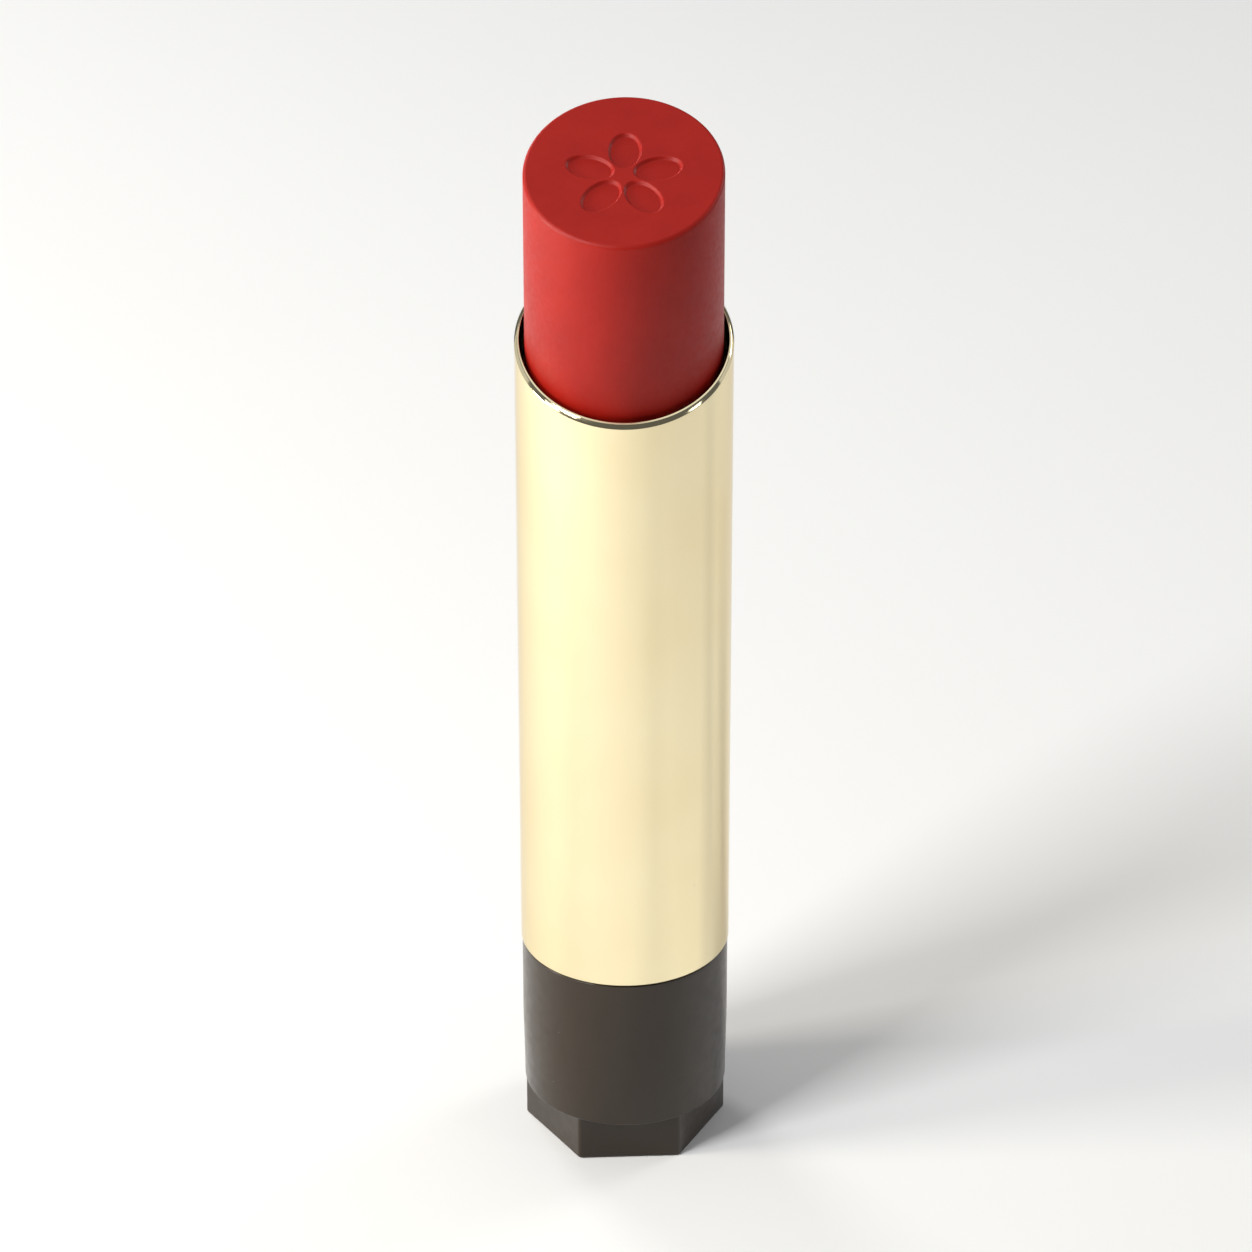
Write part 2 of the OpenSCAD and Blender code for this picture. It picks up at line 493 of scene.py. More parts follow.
@dataclass(frozen=True)
class LipColour:
    """Satin wax with a thin bloom, as it leaves a polished mould."""

    slot: str = "lip_colour"
    deep: Colour = (0.338, 0.0052, 0.0010)
    bright: Colour = (0.368, 0.0066, 0.0014)
    smooth: float = 0.45
    rough: float = 0.56

    def material(self) -> bpy.types.Material:
        """Build the node material.

        Returns:
            The material, ready to assign.
        """
        g = Graph("satin_wax")
        g.colour(g.patches(g.noise(per_mm=0.45, detail=4.0), self.deep, self.bright))
        bloom = g.noise(per_mm=2.5, detail=5.0)
        g.roughness(g.span(bloom, low=0.3, high=0.7, to_low=self.smooth, to_high=self.rough))
        pores = g.relief(g.noise(per_mm=5.5, detail=4.0), depth=0.011 * MM, strength=0.6)
        g.relief(g.noise(per_mm=0.8, detail=2.0), depth=0.02 * MM, strength=0.2, under=pores)
        g.set(Subsurface_Weight=0.12, Subsurface_Radius=(0.9, 0.25, 0.2), Subsurface_Scale=0.5 * MM)
        g.set(Specular_IOR_Level=0.31)
        return g.material


@dataclass(frozen=True)
class PaleGold:
    """Mirror-polished aluminium, anodised pale gold, with dust and wiping marks."""

    slot: str = "sleeve_metal"
    pale: Colour = (0.95, 0.84, 0.555)
    warm: Colour = (0.93, 0.80, 0.51)
    dust: Colour = (0.30, 0.28, 0.25)
    edge_tint: Colour = (0.87, 0.83, 0.77)
    polished: float = 0.07
    wiped: float = 0.14

    def material(self) -> bpy.types.Material:
        """Build the node material.

        Returns:
            The material, ready to assign.
        """
        g = Graph("pale_gold")
        tone = g.patches(g.noise(per_mm=0.12, detail=2.0), self.pale, self.warm)
        specks = g.specks(apart=2.6 * MM, size=0.05 * MM)
        sparse = g.span(g.noise(per_mm=0.17, detail=0.0), low=0.54, high=0.6)
        g.colour(g.blend(g.multiply(specks, sparse), tone, self.dust))
        marks = g.noise(per_mm=0.6, detail=5.0, stretch=(1, 1, 0.18))
        g.roughness(g.span(marks, low=0.4, high=0.75, to_low=self.polished, to_high=self.wiped))
        draw_lines = g.noise(per_mm=0.5, detail=2.0, stretch=(1, 1, 0.15))
        g.relief(draw_lines, depth=0.004 * MM, strength=0.5)
        g.set(Metallic=1.0, Specular_Tint=(*self.edge_tint, 1.0))
        return g.material


@dataclass(frozen=True)
class GlossMoulding:
    """Glossy dark brown plastic, with faint flow and a few hairlines."""

    slot: str = "base_moulding"
    dark: Colour = (0.0195, 0.0103, 0.0030)
    light: Colour = (0.0250, 0.0140, 0.0048)
    dust: Colour = (0.22, 0.20, 0.17)
    smooth: float = 0.40
    rough: float = 0.49
    polish: float = 0.11

    def material(self) -> bpy.types.Material:
        """Build the node material.

        Returns:
            The material, ready to assign.
        """
        g = Graph("gloss_moulding")
        flow = g.noise(per_mm=0.25, detail=3.0, stretch=(1, 1, 0.4))
        tone = g.patches(flow, self.dark, self.light)
        specks = g.specks(apart=1.5 * MM, size=0.035 * MM)
        sparse = g.span(g.noise(per_mm=0.3, detail=0.0), low=0.5, high=0.58)
        g.colour(g.blend(g.multiply(specks, sparse), tone, self.dust))
        satin = g.noise(per_mm=1.2, detail=6.0)
        g.roughness(g.span(satin, low=0.35, high=0.7, to_low=self.smooth, to_high=self.rough))
        peel = g.relief(g.noise(per_mm=1.6, detail=2.0), depth=0.004 * MM, strength=0.5)
        rubbing = g.noise(per_mm=3.0, detail=1.0, stretch=(0.25, 0.25, 5.0))
        hairlines = g.span(rubbing, low=0.70, high=0.74, to_low=1.0, to_high=0.0)
        g.relief(hairlines, depth=0.002 * MM, strength=0.4, under=peel)
        g.set(Specular_IOR_Level=0.24, Coat_Weight=0.50, Coat_Roughness=self.polish)
        return g.material


@dataclass(frozen=True)
class Acetal:
    """Natural satin moulding resin, slightly translucent, with traces of grease."""

    slot: str
    pale: Colour = (0.78, 0.765, 0.71)
    cream: Colour = (0.70, 0.68, 0.61)
    dry: float = 0.42
    greased: float = 0.24

    def material(self) -> bpy.types.Material:
        """Build the node material.

        Returns:
            The material, ready to assign.
        """
        g = Graph(f"acetal_{self.slot}")
        g.colour(g.patches(g.noise(per_mm=0.3, detail=3.0), self.pale, self.cream))
        grease = g.noise(per_mm=0.7, detail=3.0)
        g.roughness(g.span(grease, low=0.4, high=0.62, to_low=self.dry, to_high=self.greased))
        g.relief(g.noise(per_mm=6.0, detail=3.0), depth=0.004 * MM, strength=0.5)
        g.set(Subsurface_Weight=0.15, Subsurface_Radius=(0.6, 0.55, 0.45), Subsurface_Scale=0.5 * MM)
        return g.material


@dataclass(frozen=True)
class MattePlug:
    """Dark moulding with a fine spark-eroded face."""

    slot: str = "plug_moulding"
    dark: Colour = (0.020, 0.016, 0.013)
    light: Colour = (0.032, 0.026, 0.021)
    smooth: float = 0.50
    rough: float = 0.66

    def material(self) -> bpy.types.Material:
        """Build the node material.

        Returns:
            The material, ready to assign.
        """
        g = Graph("matte_plug")
        grain = g.noise(per_mm=7.0, detail=4.0)
        g.colour(g.blend(grain, self.dark, self.light))
        wear = g.noise(per_mm=1.0, detail=3.0)
        g.roughness(g.span(wear, low=0.3, high=0.7, to_low=self.smooth, to_high=self.rough))
        g.relief(grain, depth=0.015 * MM, strength=0.7)
        return g.material


@dataclass(frozen=True)
class BareMetal:
    """Unfinished metal with tool marks: the weight and the retaining ring."""

    slot: str
    light: Colour
    dark: Colour
    smooth: float
    rough: float
    stretch: tuple[float, float, float] = (1, 1, 1)

    def material(self) -> bpy.types.Material:
        """Build the node material.

        Returns:
            The material, ready to assign.
        """
        g = Graph(f"metal_{self.slot}")
        marks = g.noise(per_mm=2.0, detail=5.0, stretch=self.stretch)
        g.colour(g.blend(g.span(marks, low=0.35, high=0.7), self.light, self.dark))
        g.roughness(g.span(marks, low=0.3, high=0.7, to_low=self.smooth, to_high=self.rough))
        g.relief(marks, depth=0.01 * MM, strength=0.6)
        g.set(Metallic=1.0)
        return g.material


@dataclass(frozen=True)
class Silicone:
    """Dark silicone rubber with a film of grease."""

    slot: str = "silicone"
    dark: Colour = (0.030, 0.030, 0.033)
    light: Colour = (0.050, 0.050, 0.053)
    greased: float = 0.35
    dry: float = 0.60

    def material(self) -> bpy.types.Material:
        """Build the node material.

        Returns:
            The material, ready to assign.
        """
        g = Graph("silicone")
        g.colour(g.blend(g.noise(per_mm=1.5, detail=3.0), self.dark, self.light))
        grease = g.noise(per_mm=0.8, detail=2.0)
        g.roughness(g.span(grease, low=0.4, high=0.6, to_low=self.greased, to_high=self.dry))
        g.relief(g.noise(per_mm=8.0, detail=2.0), depth=0.005 * MM, strength=0.5)
        return g.material


@dataclass(frozen=True)
class LabelPaper:
    """Coated paper printed with a flat tint of the bullet's colour inside a paler border."""

    slot: str = "label_paper"
    tint: Colour = (0.42, 0.020, 0.020)
    border: Colour = (0.62, 0.56, 0.50)
    border_from: float = 4.25 * MM
    border_blur: float = 0.03 * MM
    wear: float = 0.35
    smooth: float = 0.38
    rough: float = 0.52

    def material(self) -> bpy.types.Material:
        """Build the node material.

        Returns:
            The material, ready to assign.
        """
        g = Graph("label_paper")
        across = g.node("ShaderNodeMapping", vector_type="POINT")
        across.inputs["Scale"].default_value = (1, 1, 0)
        g.link(g.place, across.inputs["Vector"])
        length = g.node("ShaderNodeVectorMath", operation="LENGTH")
        g.link(across.outputs["Vector"], length.inputs[0])
        edge = g.span(length.outputs["Value"], self.border_from, self.border_from + self.border_blur)
        fibres = g.noise(per_mm=5.0, detail=5.0)
        printed = g.blend(edge, self.tint, self.border)
        worn = g.span(fibres, low=0.62, high=0.75, to_high=self.wear)
        g.colour(g.blend(worn, printed, self.border))
        g.roughness(g.span(fibres, low=0.3, high=0.7, to_low=self.smooth, to_high=self.rough))
        g.relief(fibres, depth=0.008 * MM, strength=0.5)
        return g.material


def dress(piece: bpy.types.Object, finish: Finish, body: Union[Body, None] = None) -> bpy.types.Object:
    """Give a piece its finish, and say where a new piece belongs.

    Args:
        piece: The piece to dress.
        finish: Its finish.
        body: The body that a new piece rides on; None for a piece of the frame.

    Returns:
        The same piece.
    """
    piece.data.materials.clear()
    piece.data.materials.append(finish.material())
    if body is not None:
        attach(piece, body.value)
    log.info("%s: %d faces, finish %s", piece.name, len(piece.data.polygons), finish.slot)
    return piece


# ---------------------------------------------------------------------------------------------
# Bullet
# ---------------------------------------------------------------------------------------------

@dataclass(frozen=True)
class Blossom:
    """A plain five-petalled flower, pressed into the tip by the mould.

    Attributes:
        petals: Number of petals.
        reach: Distance from the flower's middle to the middle of a petal.
        length: Half length of a petal.
        width: Half width of a petal.
        depth: Depth of the relief.
        wall: Width of its sloping wall.
        drop: How far the flower's middle lies below the middle of the tip.
    """

    petals: int = 5
    reach: float = 2.25 * MM
    length: float = 1.50 * MM
    width: float = 0.98 * MM
    depth: float = 0.18 * MM
    wall: float = 0.15 * MM
    drop: float = 0.45 * MM

    def sink(self, u: float, v: float) -> float:
        """Return the depth of the relief.

        Args:
            u: Distance across the tip.
            v: Distance up the slant of the tip.

        Returns:
            How far the surface lies below the tip's plane.
        """
        v += self.drop
        sector = 2 * math.pi / self.petals
        bearing = math.atan2(v, u) - math.pi / 2
        bearing -= sector * round(bearing / sector)
        distance = math.hypot(u, v)
        along = (distance * math.cos(bearing) - self.reach) / self.length
        across = distance * math.sin(bearing) / self.width
        inside = (1 - math.hypot(along, across)) * self.width
        share = min(max(inside / self.wall + 0.5, 0.0), 1.0)
        return self.depth * share * share * (3 - 2 * share)


@dataclass
class Bullet:
    """The stick of lip colour, with its relief, and the cup that carries it.

    Attributes:
        slant: Plane of the tip.
        radius: Radius of the stick.
        shoulder: Height at which the stick rests on the rim of its cup.
        tail_low: Height of the tail's end, inside the cup.
        tail_radius: Radius of the tail between the cup's grip ribs.
        tail_ease: How far the tail's end is drawn in from the bottom of its rib slots.
        tail_rise: Height of the taper at the tail's end.
        rib_slot: Radius of the tail under a grip rib.
        rib_half_width: Half width of a grip rib.
        ribs: Number of grip ribs.
        rib_end: Distance from the shoulder down to the ends of the ribs.
        shoulder_ease: Chamfer of the shoulder.
        edge: Radius of the rounding round the tip.
        edge_band: How far the even side stops below the tip's plane.
        edge_steps: Number of steps round the tip's edge.
        segments: Number of points in a ring.
        tip_rings: Number of steps from the tip's edge to its middle.
        soft_below: Edges that turn by less than this, in radians, are smooth.
        relief: The flower pressed into the tip.
        finish: Finish of the stick.
    """

    slant: Slant
    radius: float
    shoulder: float
    tail_low: float
    tail_radius: float = 6.0 * MM
    tail_ease: float = 0.3 * MM
    tail_rise: float = 0.15 * MM
    rib_slot: float = 5.7 * MM
    rib_half_width: float = 0.35 * MM
    ribs: int = 6
    rib_end: float = 0.95 * MM
    shoulder_ease: float = 0.04 * MM
    edge: float = 0.23 * MM
    edge_band: float = 0.368 * MM
    edge_steps: int = 8
    segments: int = 480
    tip_rings: int = 150
    soft_below: float = math.radians(75)
    relief: Blossom = field(default_factory=Blossom)
    finish: LipColour = field(default_factory=LipColour)

    TIP_SLANT: ClassVar[float] = math.radians(20)
    TIP_TURN: ClassVar[float] = math.radians(-2.5)
    TIP_RISE: ClassVar[float] = 0.09 * MM

    @classmethod
    def from_frame(cls) -> "Bullet":
        """Take the bullet's sizes from the frame.

        Returns:
            The bullet, ready to build.
        """
        radius = node_radius("lipstick_bullet")
        top = edge_height("lipstick_bullet", Side.HIGH)
        middle = top - radius * math.tan(cls.TIP_SLANT) + cls.TIP_RISE
        return cls(
            slant=Slant(middle, cls.TIP_SLANT, cls.TIP_TURN),
            radius=radius,
            shoulder=edge_height("bullet_cup", Side.HIGH),
            tail_low=edge_height("lipstick_bullet", Side.LOW),
        )

    def slotted_tail(self, angle: float) -> float:
        """Return the tail's radius, which is less where a grip rib bites.

        Args:
            angle: Angle about the axis.

        Returns:
            The radius at that angle.
        """
        sector = 2 * math.pi / self.ribs
        offset = angle - sector * round(angle / sector)
        in_slot = abs(math.sin(offset)) * self.tail_radius < self.rib_half_width
        return self.rib_slot if in_slot else self.tail_radius

    def tip_level(self, x: float, y: float) -> float:
        """Return the height of the tip's face, with its relief.

        Args:
            x: Place across the tip.
            y: Place from front to back.

        Returns:
            The height of the face there.
        """
        across = x * math.cos(self.slant.turn) + y * math.sin(self.slant.turn)
        uphill = y * math.cos(self.slant.turn) - x * math.sin(self.slant.turn)
        return self.slant.height(x, y) - self.relief.sink(across, uphill / math.cos(self.slant.angle))

    def build(self) -> bpy.types.Object:
        """Loft the bullet from its tail to the middle of its tip.

        Returns:
            The bullet.
        """
        skin = Loft(even_angles(self.segments))
        skin.ring(self.rib_slot - self.tail_ease, self.tail_low)
        skin.ring(self.slotted_tail, self.tail_low + self.tail_rise)
        skin.ring(self.slotted_tail, self.shoulder - self.rib_end)
        skin.ring(self.tail_radius, self.shoulder - self.rib_end)
        skin.ring(self.tail_radius, self.shoulder)
        skin.ring(self.radius - self.shoulder_ease, self.shoulder)
        skin.ring(self.radius, self.shoulder + self.shoulder_ease)
        skin.ring(self.radius, self.slant.offset(-self.edge_band))
        for swing in quarter_turn(self.edge_steps):
            skin.ring(self.radius - self.edge * (1 - math.cos(swing)),
                      self.slant.offset(-self.edge * (1 - math.sin(swing))))
        inner = self.radius - self.edge
        for step in range(1, self.tip_rings):
            skin.ring(inner * (1 - step / self.tip_rings), self.tip_level)
        return skin.solid("bullet", smooth_below=self.soft_below)

    def make(self) -> None:
        """Build the bullet, dress it and stand it in for its CAD node."""
        bullet = dress(self.build(), self.finish, Body.CARRIAGE)
        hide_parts("lipstick_bullet")
        dress(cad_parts["bullet_cup"], Acetal("cup_moulding"))


# ---------------------------------------------------------------------------------------------
# Sleeve
# ---------------------------------------------------------------------------------------------

@dataclass
class Sleeve:
    """The metal sleeve with its bevelled rim, the guide tube and the ring that holds it down.

    Attributes:
        slant: Plane of the rim's highest line.
        radius: Outer radius.
        bore: Inner radius.
        bottom: Height of its lower end.
        bevel_drop: Height of the bevel round the outside of the rim.
        bevel_in: Width of the bevel.
        bevel_bulge: How far the bevel bulges, as a share of its size.
        crown: Fall of the narrow land, from its inner edge to the bevel.
        lip: Rounding of the rim's inner edge.
        hem: Rounding of the lower end's outer edge.
        band: Height of the even strips next to the lower end, the rim and the lip.
        guard: Height of the narrow strip that keeps the bevel's foot crisp.
        segments: Number of points in a ring.
        finish: Finish of the sleeve.
    """

    slant: Slant
    radius: float
    bore: float
    bottom: float
    bevel_drop: float = 0.20 * MM
    bevel_in: float = 0.17 * MM
    bevel_bulge: float = 0.08
    crown: float = 0.02 * MM
    lip: float = 0.025 * MM
    hem: float = 0.06 * MM
    band: float = 0.3 * MM
    guard: float = 0.03 * MM
    segments: int = 288
    finish: PaleGold = field(default_factory=PaleGold)

    RIM_SLANT: ClassVar[float] = math.radians(21.6)
    WALL: ClassVar[float] = 0.3 * MM
    BEVEL_SHARES: ClassVar[tuple[float, ...]] = (0.0, 0.12, 0.5, 0.88, 1.0)
    LAND_SHARES: ClassVar[tuple[float, ...]] = (0.08, 0.92, 1.0)
    LIP_ROLL: ClassVar[float] = 0.3

    @classmethod
    def from_frame(cls) -> "Sleeve":
        """Take the sleeve's sizes from the frame.

        Returns:
            The sleeve, ready to build.
        """
        radius = node_radius("gold_sleeve")
        top = edge_height("gold_sleeve", Side.HIGH)
        return cls(
            slant=Slant(top - radius * math.tan(cls.RIM_SLANT), cls.RIM_SLANT),
            radius=radius,
            bore=radius - cls.WALL,
            bottom=edge_height("gold_sleeve", Side.LOW),
        )

    def build(self) -> bpy.types.Object:
        """Loft the sleeve round its wall: outside upwards, over the rim and down its bore.

        Returns:
            The sleeve.
        """
        skin = Loft(even_angles(self.segments))
        outer, inner = self.radius, self.bore
        skin.ring(inner, self.bottom)
        skin.outer_corner(outer, self.bottom, self.hem, up=False)
        skin.ring(outer, self.bottom + self.band)
        foot = self.bevel_drop + self.crown
        skin.ring(outer, self.slant.offset(-foot - self.band))
        skin.ring(outer, self.slant.offset(-foot - self.guard))
        for share in self.BEVEL_SHARES:
            bulge = self.bevel_bulge / 2 * math.sin(math.pi * share)
            skin.ring(outer - self.bevel_in * (share - bulge),
                      self.slant.offset(-self.crown - self.bevel_drop * (1 - share - bulge)))
        land = outer - self.bevel_in - inner - self.lip
        for share in self.LAND_SHARES:
            skin.ring(outer - self.bevel_in - land * share, self.slant.offset(-self.crown * (1 - share)))
        roll = self.lip * self.LIP_ROLL
        skin.ring(inner + roll, self.slant.offset(-roll))
        skin.ring(inner, self.slant.offset(-self.lip))
        skin.ring(inner, self.slant.offset(-self.band))
        return skin.solid("sleeve_shell", looped=True)

    def make(self) -> None:
        """Build the sleeve, dress it and finish what is fixed inside it."""
        sleeve = dress(self.build(), self.finish, Body.SLEEVE)
        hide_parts("gold_sleeve")
        dress(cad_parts["guide_tube"], Acetal("guide_moulding"))
        steel = BareMetal("ring_steel", light=(0.60, 0.60, 0.58), dark=(0.42, 0.42, 0.41),
                          smooth=0.22, rough=0.40, stretch=(1, 1, 0.2))
        dress(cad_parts["retaining_ring"], steel)


# ---------------------------------------------------------------------------------------------
# Base
# ---------------------------------------------------------------------------------------------

@dataclass(frozen=True)
class Button:
    """A round slab with eased edges and a shallow dish in its underside.

    Attributes:
        name: Name of the piece.
        node: CAD node that it replaces, and whose size and place it takes.
        edge: Rounding of its edges.
        dish: Depth of the dish.
        finish: Its finish.
    """

    name: str
    node: str
    edge: float
    dish: float
    finish: Finish

    SEGMENTS: ClassVar[int] = 128
    DISH_SHARE: ClassVar[float] = 0.5

    def build(self) -> bpy.types.Object:
        """Loft the slab from the middle of its dish to the middle of its top.

        Returns:
            The slab.
        """
        low, high = edge_height(self.node, Side.LOW), edge_height(self.node, Side.HIGH)
        radius = node_radius(self.node)
        rim = radius * self.DISH_SHARE
        skin = Loft(even_angles(self.SEGMENTS))
        skin.ring(rim / 2, low + self.dish)
        skin.ring(rim, low + self.dish)
        skin.ring(rim + self.dish, low)
        skin.outer_corner(radius, low, self.edge, up=False)
        skin.outer_corner(radius, high, self.edge)
        skin.ring(rim, high)
        return skin.solid(self.name)

    def make(self) -> None:
        """Build the slab, dress it and stand it in for its CAD node."""
        piece = dress(self.build(), self.finish, Body.BASE)
        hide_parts(self.node)


@dataclass
class Base:
    """The moulded base with its hexagonal foot, and everything that turns with it.

    Attributes:
        barrel: Radius of the barrel's upper band, which is even.
        top: Height of the shoulder that faces the sleeve.
        band_low: Height at which the band ends and the barrel starts to taper.
        ankle: Radius of the barrel's lower end.
        foot_height: Height of the foot.
        hexagon: Outline of the foot.
        spigot: Radius of the spigot that stands in the sleeve.
        spigot_top: Height of its upper end.
        socket: Radius of the bore that holds the mechanism.
        seat: Height of the step that the spiral tube stands on.
        well: Radius of the bore under that step.
        floor: Height of the well's floor.
        pocket: Radius of the pocket in the underside.
        pocket_top: Height of the pocket's roof.
        edge: Rounding of the barrel's lower edge.
        shoulder_edge: Rounding of the barrel's upper edge.
        band: Height of the even strip under the shoulder.
        root: Fillet at the spigot's root.
        spigot_edge: Rounding of the spigot's upper edge.
        bore_ease: Chamfer of the socket's mouth and of the well's floor.
        pocket_ease: Chamfer of the pocket's roof.
        pocket_mouth: Chamfer of the pocket's mouth.
        foot_edge: Rounding of the foot's lower edge.
        foot_guard: Width of the flat strip inside that edge.
        foot_band: Height of the even strip over that edge.
        foot_top_band: Height of the even strip under the ledge.
        flare: Width of the fillet between the foot's flats and the ledge.
        flare_drop: Height of that fillet.
        ledge_guard: Width of the flat strip between the ledge and the barrel's lower edge.
        corner_clear: Least distance from the ledge's rings to the foot's corners.
        per_side: Number of points along each side of the hexagon.
        finish: Finish of the shell.
    """

    barrel: float
    top: float
    band_low: float
    ankle: float
    foot_height: float
    hexagon: RoundedHexagon
    spigot: float
    spigot_top: float
    socket: float
    seat: float
    well: float
    floor: float
    pocket: float
    pocket_top: float
    edge: float = 0.13 * MM
    shoulder_edge: float = 0.06 * MM
    band: float = 0.3 * MM
    root: float = 0.05 * MM
    spigot_edge: float = 0.12 * MM
    bore_ease: float = 0.1 * MM
    pocket_ease: float = 0.05 * MM
    pocket_mouth: float = 0.12 * MM
    foot_edge: float = 0.16 * MM
    foot_guard: float = 0.03 * MM
    foot_band: float = 0.05 * MM
    foot_top_band: float = 0.08 * MM
    flare: float = 0.008 * MM
    flare_drop: float = 0.005 * MM
    ledge_guard: float = 0.02 * MM
    corner_clear: float = 0.012 * MM
    per_side: int = 64
    finish: GlossMoulding = field(default_factory=GlossMoulding)

    SEAM_GAP: ClassVar[float] = 0.12 * MM
    BAND_HEIGHT: ClassVar[float] = 6.0 * MM
    TAPER: ClassVar[float] = 0.1 * MM
    FOOT_HEIGHT: ClassVar[float] = 3.2 * MM
    FOOT_APOTHEM: ClassVar[float] = 5.89 * MM
    FOOT_CORNER: ClassVar[float] = 0.35 * MM
    FOOT_TURN: ClassVar[float] = math.radians(2.7)
    SPIGOT_INSET: ClassVar[float] = 0.38 * MM
    SOCKET: ClassVar[float] = 6.12 * MM
    WELL: ClassVar[float] = 5.75 * MM
    FLOOR: ClassVar[float] = 4.6 * MM
    PLUG_GAP: ClassVar[float] = 0.02 * MM
    WEIGHT_GAP: ClassVar[float] = 0.05 * MM

    @classmethod
    def from_frame(cls) -> "Base":
        """Take the base's sizes from the frame.

        Returns:
            The base, ready to build.
        """
        barrel = node_radius("base_shell")
        top = edge_height("gold_sleeve", Side.LOW) - cls.SEAM_GAP
        return cls(
            barrel=barrel,
            top=top,
            band_low=top - cls.BAND_HEIGHT,
            ankle=barrel - cls.TAPER,
            foot_height=cls.FOOT_HEIGHT,
            hexagon=RoundedHexagon(cls.FOOT_APOTHEM, cls.FOOT_CORNER, cls.FOOT_TURN),
            spigot=node_radius("gold_sleeve") - cls.SPIGOT_INSET,
            spigot_top=edge_height("base_shell", Side.HIGH),
            socket=cls.SOCKET,
            seat=edge_height("spiral_tube", Side.LOW),
            well=cls.WELL,
            floor=cls.FLOOR,
            pocket=node_radius("foot_plug") + cls.PLUG_GAP,
            pocket_top=edge_height("base_weight", Side.HIGH) + cls.WEIGHT_GAP,
        )

    def foot(self, inset: float) -> Callable[[float], float]:
        """Return the foot's outline, inset all round."""
        return lambda angle: self.hexagon.radius(angle) - inset

    def ledge(self, radius: float) -> Callable[[float], float]:
        """Return a ring round the ledge over the foot, kept outside the foot's corners."""
        return lambda angle: max(radius, self.hexagon.radius(angle) + self.corner_clear)

    def loft_foot(self, skin: Loft) -> None:
        """Add the rings from the pocket's roof, round the underside, up the foot and over its ledge.

        Args:
            skin: The shell's skin, still empty.
        """
        skin.ring(self.pocket - self.pocket_ease, self.pocket_top)
        skin.ring(self.pocket, self.pocket_top - self.pocket_ease)
        skin.ring(self.pocket, self.pocket_mouth)
        skin.ring(self.pocket + self.pocket_mouth, 0.0)
        skin.ring(self.foot(self.foot_edge + self.foot_guard), 0.0)
        for swing in quarter_turn(Loft.CORNER_STEPS):
            skin.ring(self.foot(self.foot_edge * (1 - math.sin(swing))),
                      self.foot_edge * (1 - math.cos(swing)))
        skin.ring(self.foot(0.0), self.foot_edge + self.foot_band)
        skin.ring(self.foot(0.0), self.foot_height - self.foot_top_band)
        skin.ring(self.foot(-self.flare), self.foot_height - self.flare_drop)
        skin.ring(self.ledge(self.ankle - self.edge - self.ledge_guard), self.foot_height)
        for swing in quarter_turn(Loft.CORNER_STEPS):
            skin.ring(self.ledge(self.ankle - self.edge * (1 - math.sin(swing))),
                      self.foot_height + self.edge * (1 - math.cos(swing)))

    def loft_barrel(self, skin: Loft) -> None:
        """Add the rings up the barrel, over the spigot and down the socket to the well's floor.

        Args:
            skin: The shell's skin, as far as the ledge.
        """
        skin.ring(self.barrel, self.band_low)
        skin.ring(self.barrel, self.top - self.band)
        skin.outer_corner(self.barrel, self.top, self.shoulder_edge)
        skin.ring(self.spigot + self.root, self.top)
        skin.ring(self.spigot, self.top + self.root)
        skin.outer_corner(self.spigot, self.spigot_top, self.spigot_edge)
        skin.ring(self.socket + self.bore_ease, self.spigot_top)
        skin.ring(self.socket, self.spigot_top - self.bore_ease)
        skin.ring(self.socket, self.seat)
        skin.ring(self.well, self.seat)
        skin.ring(self.well, self.floor + self.bore_ease)
        skin.ring(self.well - self.bore_ease, self.floor)

    def build(self) -> bpy.types.Object:
        """Loft the shell from its pocket, round its outside, to the floor of its well.

        Returns:
            The base shell.
        """
        skin = Loft(self.hexagon.sample_angles(self.per_side))
        self.loft_foot(skin)
        self.loft_barrel(skin)
        return skin.solid("base_moulding")

    def make(self) -> None:
        """Build the base and its small parts, dress them and finish the cam and the drag ring."""
        shell = dress(self.build(), self.finish, Body.BASE)
        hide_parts("base_shell")
        zinc = BareMetal("weight_metal", light=(0.50, 0.49, 0.46), dark=(0.33, 0.32, 0.30),
                         smooth=0.36, rough=0.54)
        for button in (
            Button("weight_slug", "base_weight", edge=0.25 * MM, dish=0.3 * MM, finish=zinc),
            Button("foot_disc", "foot_plug", edge=0.08 * MM, dish=0.12 * MM, finish=MattePlug()),
            Button("tint_label", "shade_label", edge=0.02 * MM, dish=0.0, finish=LabelPaper()),
        ):
            button.make()
        dress(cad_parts["spiral_tube"], Acetal("cam_moulding"))
        dress(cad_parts["drag_ring"], Silicone())


# ---------------------------------------------------------------------------------------------
# Studio
# ---------------------------------------------------------------------------------------------

